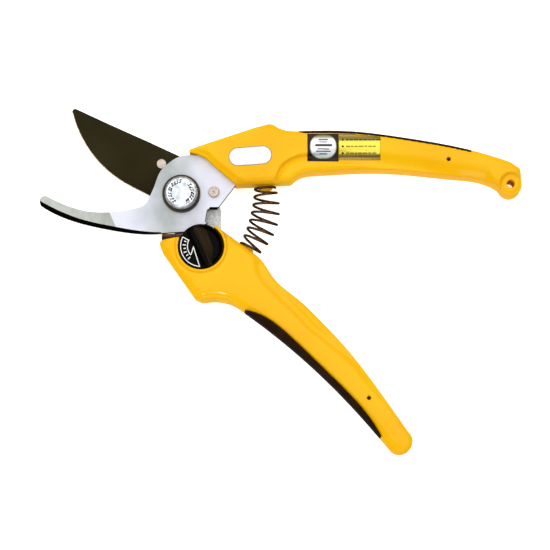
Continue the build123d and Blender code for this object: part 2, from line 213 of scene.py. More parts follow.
class Finish:
    """A principled material and the few nodes that its pattern is made of."""

    def __init__(self, name, base=(0.8, 0.8, 0.8), roughness=0.4, metallic=0.0, coat=0.0, gloss=0.5):
        self.material = bpy.data.materials.new(name)
        self.material.use_nodes = True
        self.nodes = self.material.node_tree.nodes
        self.link = self.material.node_tree.links.new
        self.shader = self.nodes["Principled BSDF"]
        self.shader.inputs["Base Color"].default_value = (*base, 1)
        self.shader.inputs["Roughness"].default_value = roughness
        self.shader.inputs["Metallic"].default_value = metallic
        self.shader.inputs["Coat Weight"].default_value = coat
        self.shader.inputs["Specular IOR Level"].default_value = gloss
        self.place = self.nodes.new("ShaderNodeTexCoord")

    def math(self, kind, a, b=0.0, clamp=False):
        """One step of arithmetic, its terms being sockets or numbers."""
        node = self.nodes.new("ShaderNodeMath")
        node.operation = kind
        node.use_clamp = clamp
        for socket, value in zip(node.inputs, (a, b)):
            if isinstance(value, (int, float)):
                socket.default_value = value
            else:
                self.link(value, socket)
        return node.outputs[0]

    def axes(self, kind="Object"):
        """The X, Y and Z of the surface's place, or of its normal, in the piece's own frame."""
        split = self.nodes.new("ShaderNodeSeparateXYZ")
        self.link(self.place.outputs[kind], split.inputs[0])
        return split.outputs

    def noise(self, size, stretch=(1, 1, 1), turn=0.0, detail=4.0):
        """Noise whose features are about size millimetres across, stretched along an axis or two."""
        mapping = self.nodes.new("ShaderNodeMapping")
        mapping.inputs["Rotation"].default_value = (0, 0, math.radians(turn))
        mapping.inputs["Scale"].default_value = [1 / s for s in stretch]
        self.link(self.place.outputs["Object"], mapping.inputs[0])
        texture = self.nodes.new("ShaderNodeTexNoise")
        texture.inputs["Scale"].default_value = 1 / (size * MM)
        texture.inputs["Detail"].default_value = detail
        self.link(mapping.outputs[0], texture.inputs[0])
        return texture.outputs["Fac"]

    def ramp(self, factor, *stops):
        """Colours along a value, each as (place, red, green, blue)."""
        node = self.nodes.new("ShaderNodeValToRGB")
        elements = node.color_ramp.elements
        while len(elements) < len(stops):
            elements.new(0.5)
        for element, (at, *rgb) in zip(elements, stops):
            element.position = at
            element.color = (*rgb, 1)
        self.link(factor, node.inputs[0])
        return node.outputs[0]

    def mix(self, factor, a, b):
        """Colour a where the factor is 0 and b where it is 1, each a socket or (red, green, blue)."""
        node = self.nodes.new("ShaderNodeMix")
        node.data_type = "RGBA"
        self.link(factor, node.inputs["Factor"])
        colour_inputs = [socket for socket in node.inputs if socket.type == "RGBA"]
        for socket, value in zip(colour_inputs, (a, b)):
            if isinstance(value, tuple):
                socket.default_value = (*value, 1)
            else:
                self.link(value, socket)
        return next(socket for socket in node.outputs if socket.type == "RGBA")

    def colour(self, output):
        self.link(output, self.shader.inputs["Base Color"])

    def roughness(self, factor, low, high):
        """Roughness from low to high as a value goes from 0 to 1."""
        node = self.nodes.new("ShaderNodeMapRange")
        node.inputs["To Min"].default_value = low
        node.inputs["To Max"].default_value = high
        self.link(factor, node.inputs["Value"])
        self.link(node.outputs[0], self.shader.inputs["Roughness"])

    def bump(self, height, depth, strength=1.0):
        """Raises the surface by a height from 0 to 1, depth being in millimetres."""
        node = self.nodes.new("ShaderNodeBump")
        node.inputs["Distance"].default_value = depth * MM
        node.inputs["Strength"].default_value = strength
        self.link(height, node.inputs["Height"])
        self.link(node.outputs[0], self.shader.inputs["Normal"])


def yellow_plastic():
    """Glossy on its faces, and duller on its upright walls."""
    finish = Finish("yellow_plastic", gloss=0.17)
    finish.colour(finish.ramp(finish.noise(26, detail=2), (0.3, 0.91, 0.45, 0.002), (0.7, 0.93, 0.51, 0.004)))
    upright = finish.math("ABSOLUTE", finish.axes("Normal")[2])
    wall = finish.math("MULTIPLY", finish.math("SUBTRACT", 0.6, upright), 2.5, clamp=True)
    speckle = finish.math("MULTIPLY", finish.noise(3, detail=6), 0.12)
    finish.roughness(finish.math("MAXIMUM", wall, speckle), 0.08, 0.65)
    finish.bump(finish.noise(1.1, detail=3), 0.003)
    return finish.material


def hook_steel():
    """Brushed plate, greyer round the pivot, its hook ground, and near black on each face that leans towards
    -Y.
    """
    finish = Finish("hook_steel", metallic=0.45, gloss=0.3)
    x, y, _ = finish.axes()
    grey = finish.ramp(finish.noise(9, detail=9), (0.3, 0.30, 0.33, 0.32), (0.7, 0.44, 0.47, 0.47))
    bluish = finish.ramp(finish.noise(9, detail=9), (0.3, 0.62, 0.63, 0.71), (0.7, 0.71, 0.72, 0.82))
    from_middle = finish.math("ABSOLUTE", finish.math("ADD", x, 6 * MM))
    share = finish.math("DIVIDE", from_middle, 18 * MM)
    ragged = finish.math("ADD", share, finish.math("MULTIPLY", finish.noise(14, detail=5), 0.6))
    plate = finish.mix(finish.math("SUBTRACT", ragged, 0.3, clamp=True), grey, bluish)
    ground = finish.ramp(finish.noise(3, stretch=(0.7, 2, 1), turn=-18), (0.3, 0.38, 0.40, 0.36),
                         (0.7, 0.48, 0.50, 0.46))
    past_line = finish.math("ADD", x, finish.math("MULTIPLY", y, GRIND_LEAN))
    past_line = finish.math("ADD", past_line, (-GRIND_AT[0] - GRIND_AT[1] * GRIND_LEAN) * MM)
    is_ground = finish.math("LESS_THAN", past_line, 0.0)
    near_line = finish.math("ADD", finish.math("DIVIDE", past_line, 12 * MM), 1.0, clamp=True)
    ground = finish.mix(finish.math("MULTIPLY", near_line, 0.4), ground, (0.20, 0.22, 0.18))
    steel = finish.mix(is_ground, plate, ground)
    # Faces that lean towards -Y are made near black.
    is_black = finish.math("LESS_THAN", finish.axes("Normal")[1], -0.2)
    finish.colour(finish.mix(is_black, steel, (0.006, 0.004, 0.003)))
    finish.link(finish.math("MAXIMUM", is_black, 0.45), finish.shader.inputs["Metallic"])
    finish.roughness(finish.noise(1.5, stretch=(6, 1, 1), turn=25, detail=8), 0.3, 0.5)
    finish.bump(finish.noise(0.35, stretch=(8, 1, 1), turn=25), 0.012)
    return finish.material


def blade_coating():
    """Dark brown coating, nearly black, with a satin face."""
    finish = Finish("blade_coating", metallic=0.3, gloss=0.06)
    tone = finish.noise(22, detail=3)
    finish.colour(finish.ramp(tone, (0.3, 0.014, 0.010, 0.002), (0.7, 0.026, 0.021, 0.006)))
    finish.roughness(finish.noise(4, detail=8), 0.34, 0.52)
    finish.bump(finish.noise(0.5, detail=2), 0.008)
    return finish.material


def bare_edge():
    """Worn steel with brown stains."""
    finish = Finish("bare_edge", metallic=0.9)
    finish.colour(finish.ramp(finish.noise(1.2), (0.35, 0.50, 0.38, 0.20), (0.65, 0.80, 0.72, 0.55)))
    finish.roughness(finish.noise(0.5), 0.2, 0.4)
    return finish.material


def carrier_steel():
    """Grey steel with a coarse grain."""
    finish = Finish("carrier_steel", metallic=0.4)
    grain = finish.noise(0.8, detail=8)
    finish.colour(finish.ramp(grain, (0.35, 0.46, 0.49, 0.48), (0.65, 0.76, 0.80, 0.79)))
    finish.roughness(finish.noise(1), 0.4, 0.6)
    finish.bump(finish.noise(0.7, detail=6), 0.06)
    return finish.material


def copper_rivet():
    """Satin copper, a little mottled."""
    finish = Finish("copper_rivet", metallic=0.45)
    finish.colour(finish.ramp(finish.noise(0.9), (0.3, 0.48, 0.38, 0.31), (0.7, 0.68, 0.58, 0.50)))
    finish.roughness(finish.noise(0.6), 0.3, 0.5)
    finish.bump(finish.noise(0.4), 0.02)
    return finish.material


def bolt_steel():
    """Bright plating on an uneven face."""
    finish = Finish("bolt_steel", metallic=0.75)
    finish.colour(finish.ramp(finish.noise(1.6, detail=6), (0.35, 0.46, 0.51, 0.53), (0.6, 0.84, 0.88, 0.92)))
    finish.roughness(finish.noise(1.2), 0.2, 0.36)
    finish.bump(finish.noise(1.3, detail=4), 0.05)
    return finish.material


def dark_metal(name, deep, pale, roughness):
    """Dark metal between two tones."""
    finish = Finish(name, metallic=0.7)
    finish.colour(finish.ramp(finish.noise(1.5), (0.35, *deep), (0.65, *pale)))
    finish.roughness(finish.noise(0.8), roughness, roughness + 0.15)
    finish.bump(finish.noise(0.5), 0.01)
    return finish.material


def black_rubber():
    """Soft rubber, nearly black."""
    finish = Finish("black_rubber", gloss=0.06)
    finish.colour(finish.ramp(finish.noise(5), (0.3, 0.013, 0.004, 0.001), (0.7, 0.028, 0.010, 0.002)))
    finish.roughness(finish.noise(1), 0.42, 0.6)
    finish.bump(finish.noise(0.3, detail=3), 0.02)
    return finish.material


def bumper_rubber():
    """Brown along its top, and dark with painted shade where it sinks into the handle."""
    finish = Finish("bumper_rubber", gloss=0.12)
    brown = finish.ramp(finish.noise(5), (0.3, 0.07, 0.024, 0.008), (0.7, 0.20, 0.07, 0.025))
    # Painted shade: below a ragged line the cushion goes near black where it sinks into the handle.
    ragged = finish.math("ADD", finish.axes()[1], finish.math("MULTIPLY", finish.noise(1.2), 0.8 * MM))
    in_painted_shade = finish.math("LESS_THAN", ragged, (BUMPER_SHADE_BELOW + 0.4) * MM)
    finish.colour(finish.mix(in_painted_shade, brown, (0.010, 0.006, 0.003)))
    finish.roughness(finish.noise(1), 0.42, 0.6)
    finish.bump(finish.noise(0.3, detail=3), 0.02)
    return finish.material


def gloss_print(name, deep, pale, roughness=0.25):
    """Print or smooth plastic between two tones."""
    finish = Finish(name, coat=0.1, gloss=0.15)
    finish.colour(finish.ramp(finish.noise(6), (0.3, *deep), (0.7, *pale)))
    finish.roughness(finish.noise(2), roughness, roughness + 0.1)
    finish.bump(finish.noise(1.5), 0.006)
    return finish.material


def label_gold():
    """Gold foil: bright along its middle, with a dark line and a duller band towards both long edges."""
    finish = Finish("label_gold", metallic=0.35, coat=0.1)
    height = finish.math("SUBTRACT", finish.axes()[1], LABEL_LOW * MM)
    across = finish.math("DIVIDE", height, (LABEL_TOP - LABEL_LOW) * MM)
    wavy = finish.math("ADD", across, finish.math("MULTIPLY", finish.noise(9, stretch=(4, 1, 1)), 0.05))
    finish.colour(finish.ramp(wavy, (0.02, 0.42, 0.24, 0.05), (0.11, 0.38, 0.22, 0.03),
                              (0.14, 0.09, 0.06, 0.004), (0.22, 0.24, 0.18, 0.006), (0.28, 0.82, 0.70, 0.05),
                              (0.72, 0.86, 0.74, 0.06), (0.79, 0.26, 0.19, 0.01), (0.88, 0.17, 0.12, 0.006),
                              (0.94, 0.38, 0.26, 0.04)))
    finish.roughness(finish.noise(1.5), 0.22, 0.36)
    finish.bump(finish.noise(2), 0.01)
    return finish.material


def label_silver():
    """Silver seal with painted shade and a painted reflection: dull olive along its top and pale blue near
    its bottom.
    """
    finish = Finish("label_silver", metallic=0.2)
    seal_low, seal_height = 14.6, 10.4
    height = finish.math("SUBTRACT", finish.axes()[1], seal_low * MM)
    across = finish.math("DIVIDE", height, seal_height * MM)
    wavy = finish.math("ADD", across, finish.math("MULTIPLY", finish.noise(5), 0.04))
    # Painted shade and reflection: olive bands at both edges, pale blue near the bottom, white between.
    finish.colour(finish.ramp(wavy, (0.03, 0.22, 0.22, 0.12), (0.12, 0.60, 0.64, 0.55),
                              (0.2, 0.52, 0.68, 0.80), (0.32, 0.84, 0.85, 0.86), (0.82, 0.84, 0.85, 0.85),
                              (0.9, 0.34, 0.34, 0.20), (1.0, 0.12, 0.11, 0.05)))
    finish.roughness(finish.noise(1.5), 0.25, 0.4)
    finish.bump(finish.noise(2), 0.01)
    return finish.material


def dial_black():
    """Black, with a painted brown reflection where it slopes down to the right."""
    finish = Finish("dial_black", gloss=0.04)
    black = finish.ramp(finish.noise(4), (0.3, 0.001, 0.001, 0.001), (0.7, 0.002, 0.0015, 0.001))
    # Painted reflection: faces whose normal leans towards +X turn brown.
    painted_reflection = finish.math("MULTIPLY", finish.math("SUBTRACT", finish.axes("Normal")[0], 0.12), 2.6, clamp=True)
    finish.colour(finish.mix(painted_reflection, black, (0.030, 0.020, 0.008)))
    finish.roughness(finish.noise(1.5), 0.08, 0.16)
    finish.bump(finish.noise(0.8), 0.006)
    return finish.material


FINISHES = {
    "hook_steel": hook_steel(),
    "blade_coating": blade_coating(),
    "carrier_steel": carrier_steel(),
    "copper_rivet": copper_rivet(),
    "bolt_steel": bolt_steel(),
    "black_oxide": dark_metal("black_oxide", (0.018, 0.014, 0.010), (0.05, 0.035, 0.02), 0.3),
    "yellow_plastic": yellow_plastic(),
    "black_rubber": black_rubber(),
    "badge_white": gloss_print("badge_white", (0.86, 0.88, 0.86), (0.93, 0.94, 0.93)),
    "label_black": gloss_print("label_black", (0.012, 0.006, 0.004), (0.03, 0.014, 0.010)),
    "label_gold": label_gold(),
    "label_silver": label_silver(),
    "dial_black": dial_black(),
    "print_white": gloss_print("print_white", (0.82, 0.82, 0.82), (0.9, 0.9, 0.9), 0.4),
    "spring_steel": dark_metal("spring_steel", (0.030, 0.014, 0.008), (0.10, 0.055, 0.03), 0.16),
    "acetal": gloss_print("acetal", (0.6, 0.58, 0.52), (0.7, 0.68, 0.62), 0.5),
    "bumper_rubber": bumper_rubber(),
}
BARE_EDGE = bare_edge()
DARK_PRINT = gloss_print("dark_print", (0.02, 0.016, 0.014), (0.08, 0.07, 0.06), 0.4)
GOLD_PRINT = gloss_print("gold_print", (0.30, 0.22, 0.01), (0.46, 0.34, 0.03), 0.4)
OLIVE_PRINT = gloss_print("olive_print", (0.10, 0.09, 0.04), (0.24, 0.22, 0.12), 0.4)
RIM_BROWN = gloss_print("rim_brown", (0.30, 0.20, 0.10), (0.42, 0.30, 0.16), 0.4)


def dress_cad_nodes():
    """Each CAD node's finish is the one of its slot."""
    for row in frame["record"]["subparts"]:
        obj = NODES[row["node"]]
        for i in range(len(obj.data.materials)):
            obj.material_slots[i].material = FINISHES[row["material_slot"]]


# Handles


def fine_mesh(node, name, voxel):
    """A copy of a CAD node in small even quads, with its sharp edges a little softened."""
    mesh = NODES[node].data.copy()
    work = bmesh.new()
    work.from_mesh(mesh)
    bmesh.ops.remove_doubles(work, verts=work.verts, dist=1e-7)
    work.to_mesh(mesh)
    work.free()
    obj = bpy.data.objects.new(name, mesh)
    bpy.context.scene.collection.objects.link(obj)
    remesh = obj.modifiers.new("even", "REMESH")
    remesh.mode = "VOXEL"
    remesh.voxel_size = voxel * MM
    soften = obj.modifiers.new("soften", "SMOOTH")
    soften.factor = 0.5
    soften.iterations = 3
    ready = bpy.data.meshes.new_from_object(obj.evaluated_get(bpy.context.evaluated_depsgraph_get()))
    obj.modifiers.clear()
    obj.data = ready
    ready.materials.clear()
    ready.shade_smooth()
    return obj


def press_faces(mesh, depth_at):
    """Sinks both flat faces of a handle by a depth for each place, and leaves its middle alone."""
    points = read_points(mesh)
    depth = depth_at(points[:, :2])
    high = points[:, 2] > THICKNESS - RIM_Z
    low = points[:, 2] < BACK_RIM_Z
    points[high, 2] -= (points[high, 2] - (THICKNESS - RIM_Z)) * depth[high] / RIM_Z
    points[low, 2] += (BACK_RIM_Z - points[low, 2]) * depth[low] / RIM_Z * BACK_SHARE
    write_points(mesh, points)


def upper_relief(xy):
    """Depth of the upper handle's relief: front bevel, finger scoop with its bead, and the eye's flat."""
    bevel_depth, bevel_width = 1.5, 3.4
    scoop_depth, bead_height = 2.4, 1.2
    flat_depth, flat_r = 1.9, 4.1
    front = np.abs(to_line(xy, smooth_line(FRONT_EDGE))[0])
    depth = bevel_depth * (1 - smoothstep(0.0, bevel_width, front))
    side, share = to_line(xy, smooth_line(SWOOSH))
    fade = 1 - smoothstep(0.955, 1.0, share)
    roll = 0.9 + 6.0 * smoothstep(0.16, 0.4, share)
    crown = smoothstep(0, 1, 1 + side / roll) ** 1.4
    bead = smoothstep(0.2, 2.6, side)
    scoop = scoop_depth * crown - bead_height * bead
    depth += np.where(side < 0, scoop_depth * crown, scoop) * fade
    from_eye = np.hypot(xy[:, 0] - EYE_AT[0], xy[:, 1] - EYE_AT[1])
    flat = 1 - smoothstep(flat_r, 5.0, from_eye)
    return depth * (1 - flat) + flat_depth * flat


def lower_relief(xy):
    """Depth of the lower handle's relief: groove beside the shoulder, bead, rounded back, and lip's foot."""
    groove_depth, bead_height = 2.0, 1.1
    back_depth, back_width = 1.7, 10.0
    lip_depth, lip_r = 0.7, 11.6
    side, share = to_line(xy, smooth_line(SHOULDER))
    fade = smoothstep(0.16, 0.32, share) * (1 - 0.35 * smoothstep(0.9, 1.0, share))
    groove = smoothstep(0, 3.6, side)
    bead = smoothstep(3.8, 6.2, side)
    depth = (groove_depth * groove - bead_height * bead) * fade
    edge = np.abs(to_line(xy, smooth_line(BACK_EDGE))[0])
    from_dial = np.hypot(xy[:, 0] - DIAL_AT[0], xy[:, 1] - DIAL_AT[1])
    lip_foot = np.exp(-((from_dial - lip_r) / 0.5) ** 2)
    return depth + back_depth * (1 - smoothstep(0.5, back_width, edge)) + lip_depth * lip_foot


def square_up(mesh, line, band, share):
    """Makes the rounding of a handle's front shallow within a band along a line."""
    points = read_points(mesh)
    gap, along = to_line(points[:, :2], np.array(line))
    near = (1 - smoothstep(band, band + 1.5, np.abs(gap))) * (1 - smoothstep(0.85, 1.0, along))
    rounding = 3.7
    rim = points[:, 2] > THICKNESS - rounding
    points[rim, 2] = THICKNESS - (THICKNESS - points[rim, 2]) * (1 - (1 - share) * near[rim])
    write_points(mesh, points)


def handle(node, name, body, relief):
    """A handle in fine mesh with its relief, in place of its CAD node."""
    obj = fine_mesh(node, name, 0.5)
    if node == "upper_handle":
        square_up(obj.data, HEAD_EDGE, 4.0, HEAD_EDGE_SHARE)
    press_faces(obj.data, relief)
    obj.data.materials.append(FINISHES["yellow_plastic"])
    return place(obj, body, "yellow_plastic", node)


def surface_of(obj):
    """Something that answers where a handle's front surface is."""
    return BVHTree.FromObject(obj, bpy.context.evaluated_depsgraph_get())


def front_at(surface, x, y):
    """Height of a handle's front surface above a place, and the surface's normal there."""
    hit, normal, _, _ = surface.ray_cast(Vector((x, y, 40.0)) * MM, Vector((0, 0, -1)))
    if hit is None:
        return None
    return hit / MM, normal


def decal(name, surface, outline, lift, material, step=0.45):
    """A thin printed patch that lies on a handle: a grid that the outline bends to its shape."""
    x_low, x_high, y_low, y_high, bend = outline
    columns = round((x_high - x_low) / step)
    rows = round((y_high - y_low) / step)
    vertices = []
    index = {}
    faces = []

    def corner(i, j):
        if (i, j) not in index:
            x = x_low + (x_high - x_low) * i / columns
            y = y_low + (y_high - y_low) * j / rows
            found = front_at(surface, *bend(x, y))
            if found is None:
                return None
            point, normal = found
            index[i, j] = len(vertices)
            vertices.append(point + normal * lift)
        return index[i, j]

    for i in range(columns):
        for j in range(rows):
            cell = [corner(i, j), corner(i + 1, j), corner(i + 1, j + 1), corner(i, j + 1)]
            if None not in cell:
                faces.append(cell)
    obj = add_mesh(name, vertices, faces, material)
    skin = obj.modifiers.new("thickness", "SOLIDIFY")
    skin.thickness = lift * MM
    skin.offset = -1
    return obj


def block(x_low, x_high, y_low, y_high):
    """Outline of a rectangular patch."""
    return x_low, x_high, y_low, y_high, lambda x, y: (x, y)


def round_patch(centre, half_width, half_height, power=2.0):
    """Outline of an oval patch: a square grid squeezed into a superellipse."""
    cx, cy = centre

    def squeeze(u, v):
        reach = max(abs(u), abs(v))
        if reach < 1e-9:
            return cx, cy
        turn = math.atan2(v, u)
        c = abs(math.cos(turn)) ** (2 / power) * math.copysign(1, math.cos(turn))
        s = abs(math.sin(turn)) ** (2 / power) * math.copysign(1, math.sin(turn))
        return cx + half_width * reach * c, cy + half_height * reach * s

    return -1.0, 1.0, -1.0, 1.0, squeeze


def stadium(centre, half_width, half_height):
    """Outline of a patch with straight long sides and round ends: a square grid moved onto it."""
    straight = half_width - half_height

    def move(u, v):
        reach = max(abs(u), abs(v), 1e-9)
        if abs(u) >= abs(v):
            turn = math.pi / 2 * v / max(abs(u), 1e-9)
            x = math.copysign(straight + half_height * math.cos(turn), u)
            y = half_height * math.sin(turn)
        else:
            x = straight * u / abs(v)
            y = math.copysign(half_height, v)
        return centre[0] + x * reach, centre[1] + y * reach

    return -1.0, 1.0, -1.0, 1.0, move


def printed(name, surface, outline, lift, material, slot, *replaced, step=0.45):
    """A printed patch on the upper handle."""
    place(decal(name, surface, outline, lift, material, step), "hook_side", slot, *replaced)


def label(surface):
    """The grip's two-part label: a dark end for the seal, and a gold end for the rows."""
    patch = block(54.2, 67.6, LABEL_LOW - 0.6, LABEL_TOP)
    printed("grip_label_dark", surface, patch, 0.07, FINISHES["label_black"], "label_black", "label_dark")
    patch = block(67.7, 85.6, LABEL_LOW, LABEL_TOP)
    printed("grip_label_gold", surface, patch, 0.07, FINISHES["label_gold"], "label_gold", "label_gold")


def seal(surface):
    """Silver seal with a thin olive rim, and plain bars in place of words."""
    patch = round_patch(SEAL_AT, 5.85, 5.3, 2.3)
    printed("grip_seal_rim", surface, patch, 0.10, OLIVE_PRINT, "label_gold", step=0.09)
    patch = round_patch(SEAL_AT, 5.6, 5.05, 2.3)
    printed("grip_seal", surface, patch, 0.14, FINISHES["label_silver"], "label_silver", "label_seal",
            step=0.09)
    bars = ((61.0, 22.7, 4.0, 0.45), (61.0, 21.7, 3.4, 0.3), (61.2, 20.3, 7.2, 0.9), (61.0, 18.7, 5.0, 0.4),
            (61.0, 17.8, 6.4, 0.4), (61.0, 16.8, 3.4, 0.4))
    for i, (x, y, width, height) in enumerate(bars):
        patch = block(x - width / 2, x + width / 2, y - height / 2, y + height / 2)
        printed(f"seal_bar_{i}", surface, patch, 0.17, DARK_PRINT, "label_black", step=min(height / 2, 0.3))


def label_rows(surface):
    """Three rows on the label's gold end, each a dot and then dashes in place of words."""
    rows = ((22.7, 13.6, DARK_PRINT), (19.8, 13.0, GOLD_PRINT), (17.0, 12.0, OLIVE_PRINT))
    for i, (y, width, ink) in enumerate(rows):
        patch = round_patch((69.4, y), 0.45, 0.45)
        printed(f"label_dot_{i}", surface, patch, 0.11, FINISHES["label_black"], "label_black", step=0.25)
        x = 70.8
        number = 0
        while x < 70.8 + width:
            dash = 1.1 + 0.9 * ((number * 7 + i * 3) % 5) / 4
            patch = block(x, x + dash, y - 0.28, y + 0.28)
            printed(f"label_bar_{i}_{number}", surface, patch, 0.11, ink, "label_black", step=0.28)
            x += dash + 0.35
            number += 1


def badge(surface):
    """Blank oval badge with a thin brown rim."""
    patch = tilted(stadium(BADGE_AT, 9.35, 4.05), BADGE_TILT, BADGE_AT)
    printed("head_badge_rim", surface, patch, 0.08, RIM_BROWN, "badge_white", step=0.06)
    patch = tilted(stadium(BADGE_AT, 9.05, 3.75), BADGE_TILT, BADGE_AT)
    printed("head_badge", surface, patch, 0.3, FINISHES["badge_white"], "badge_white", "upper_badge",
            step=0.06)


def tilted(outline, degrees, centre):
    """An outline turned about a centre."""
    *limits, bend = outline
    c = math.cos(math.radians(degrees))
    s = math.sin(math.radians(degrees))

    def turned(u, v):
        x, y = bend(u, v)
        x -= centre[0]
        y -= centre[1]
        return centre[0] + x * c - y * s, centre[1] + x * s + y * c

    return (*limits, turned)


# Turned parts


def lathe(name, profile, at, material, segments=96):
    """A solid of revolution from (radius, height) points, the first and last on the axis."""
    vertices = [(at[0], at[1], profile[0][1])]
    for radius, height in profile[1:-1]:
        for i in range(segments):
            turn = 2 * math.pi * i / segments
            vertices.append((at[0] + radius * math.cos(turn), at[1] + radius * math.sin(turn), height))
    vertices.append((at[0], at[1], profile[-1][1]))
    rings = len(profile) - 2
    faces = []
    for i in range(segments):
        j = (i + 1) % segments
        faces.append((0, 1 + j, 1 + i))
        for k in range(rings - 1):
            a, b = 1 + k * segments, 1 + (k + 1) * segments
            faces.append((a + i, a + j, b + j, b + i))
        last = 1 + (rings - 1) * segments
        faces.append((last + i, last + j, len(vertices) - 1))
    return add_mesh(name, vertices, faces, material)


def cap_nut():
    """Cap nut with a soft edge and a slightly sunk, uneven crown."""
    low, top = 15.2, NUT_TOP
    profile = [(0, low), (6.7, low), (7.0, low + 0.3), (7.0, top - 1.3), (6.85, top - 0.75),
               (6.45, top - 0.35), (5.9, top - 0.1), (5.2, top), (4.1, top - 0.04), (3.9, top - 0.16),
               (3.3, top - 0.2), (1.8, top - 0.14), (0, top - 0.1)]
    nut = lathe("cap_nut", profile, (0, 0), FINISHES["bolt_steel"])
    place(nut, "hook_side", "bolt_steel", "pivot_nut")


def cap_nut_marks():
    """Plain strokes in two arcs round the cap nut's rim, each with a shorter one on both sides."""
    marks = []
    faces = []
    height = NUT_TOP - 0.06
    chance = random.Random(7)
    for start, end, count in ((95, 232, 10), (-62, 42, 8)):
        for i in range(count):
            turn = math.radians(start + (end - start) * (i + chance.uniform(-0.2, 0.2)) / (count - 1))
            inner = chance.uniform(3.9, 4.3)
            add_stroke(marks, faces, turn, inner, inner + chance.uniform(1.2, 1.7), 0.2, height)
            add_stroke(marks, faces, turn + 0.09, inner, inner + chance.uniform(0.4, 0.9), 0.28, height)
            add_stroke(marks, faces, turn - 0.08, 5.2, 5.2 + chance.uniform(0.3, 0.7), 0.24, height)
    strokes = add_mesh("cap_nut_marks", marks, faces, DARK_PRINT, smooth=False)
    place(strokes, "hook_side", "black_oxide")


def add_stroke(vertices, faces, turn, inner, outer, half_width, height, depth=0.14, at=(0, 0)):
    """A small radial bar, added to a list of vertices and faces."""
    along = np.array((math.cos(turn), math.sin(turn)))
    across = np.array((-along[1], along[0])) * half_width
    first = len(vertices)
    for z in (height - depth, height + 0.1):
        for radius, side in ((inner, -1), (outer, -1), (outer, 1), (inner, 1)):
            x, y = np.array(at) + along * radius + across * side
            vertices.append((x, y, z))
    for face in ((3, 2, 1, 0), (4, 5, 6, 7), (0, 1, 5, 4), (1, 2, 6, 5), (2, 3, 7, 6), (3, 0, 4, 7)):
        faces.append([first + i for i in face])


def rivet_faces():
    """The stop rivet, and a face on the blade's rivet, each with one ring and a dimple."""
    top = PLATE_TOP + 1.5
    profile = [(0, 7.3), (1.5, 7.3), (1.5, PLATE_TOP), (2.35, PLATE_TOP), (2.35, top - 0.5),
               (2.2, top - 0.18), (1.9, top - 0.03), (1.55, top), (1.3, top - 0.02), (1.15, top - 0.2),
               (1.0, top - 0.02), (0.6, top), (0.3, top - 0.5), (0, top - 0.7)]
    stop = lathe("stop_rivet_turned", profile, STOP_AT, FINISHES["copper_rivet"])
    place(stop, "hook_side", "copper_rivet", "stop_rivet")
    top = BLADE_TOP + 0.16
    profile = [(0, BLADE_TOP - 0.5), (2.0, BLADE_TOP - 0.5), (2.0, top - 0.08), (1.9, top), (1.3, top),
               (1.15, top - 0.12), (1.0, top), (0.4, top), (0, top - 0.15)]
    face = lathe("blade_rivet_face", profile, RIVET_AT, FINISHES["copper_rivet"])
    place(face, "blade_side", "copper_rivet")


def dial_height(x, y):
    """Height of the dial's face: a thumb bar, gentle on its left, and a scoop on its right that narrows."""
    along = x * math.cos(DIAL_BAR_TURN) + y * math.sin(DIAL_BAR_TURN)
    across = -x * math.sin(DIAL_BAR_TURN) + y * math.cos(DIAL_BAR_TURN)
    radius = math.hypot(x, y)
    edge = float(smoothstep(DIAL_R - 0.5, DIAL_R - 1.9, radius))
    bar = float(smoothstep(-3.4, -1.2, across) * (1 - smoothstep(0.4, 1.3, across)))
    scoop_width = max(4.6 - 0.09 * along - 0.069 * max(along, 0) ** 2, 1.0)
    scoop = float(smoothstep(0.5, 0.5 + scoop_width, across))
    rim_drop = 0.7 * float(smoothstep(DIAL_R - 0.5, DIAL_R, radius)) ** 2
    return DIAL_TOP + (DIAL_BAR * bar - DIAL_SCOOP * scoop) * edge - rim_drop


def dial():
    """The lock dial: its face from a height for each place, with a side wall and a flat underside."""
    rings, segments = 40, 120
    low = 14.4
    vertices = [(DIAL_AT[0], DIAL_AT[1], dial_height(0, 0))]
    for k in range(1, rings + 1):
        radius = DIAL_R * k / rings
        for i in range(segments):
            turn = 2 * math.pi * i / segments
            x, y = radius * math.cos(turn), radius * math.sin(turn)
            vertices.append((DIAL_AT[0] + x, DIAL_AT[1] + y, dial_height(x, y)))
    for i in range(segments):
        x, y, _ = vertices[1 + (rings - 1) * segments + i]
        vertices.append((x, y, low))
    vertices.append((DIAL_AT[0], DIAL_AT[1], low))
    faces = []
    for i in range(segments):
        j = (i + 1) % segments
        faces.append((0, 1 + i, 1 + j))
        for k in range(rings):
            a, b = 1 + k * segments, 1 + (k + 1) * segments
            faces.append((a + i, b + i, b + j, a + j))
        faces.append((1 + rings * segments + j, 1 + rings * segments + i, len(vertices) - 1))
    obj = add_mesh("dial_face", vertices, faces, FINISHES["dial_black"])
    place(obj, "lock", "dial_black", "lock_dial")


def dial_ticks():
    """Six white ticks inside the dial's mark, every other one longer."""
    vertices = []
    faces = []
    for i in range(6):
        turn = math.radians(163 + 12.5 * i)
        outer = 7.9 if i % 2 else 7.5
        add_stroke(vertices, faces, turn, 6.5, outer, 0.22, DIAL_TOP + 0.08, 0.3, DIAL_AT)
    strokes = add_mesh("dial_ticks", vertices, faces, FINISHES["print_white"], smooth=False)
    place(strokes, "lock", "print_white")


# Blade edge, spring and cushion


def cutting_edge_line():
    """The blade's cutting edge from its tip to its heel, read from the outline of the blade's front face."""
    mesh = NODES["cutting_blade"].data
    points = {tuple(round(c, 2) for c in v.co / MM) for v in mesh.vertices}
    front = [(x, y) for x, y, z in points if abs(z - BLADE_TOP) < 0.02]
    chord = np.array((EDGE_TIP, EDGE_HEEL))
    slack = 0.05
    line = []
    for x, y in front:
        side, _ = to_line(np.array([(x, y)]), chord)
        if side[0] > -slack and EDGE_HEEL[1] - slack <= y <= EDGE_TIP[1] + slack and x < -12:
            line.append((x, y))
    return sorted(line, key=lambda p: -p[1])


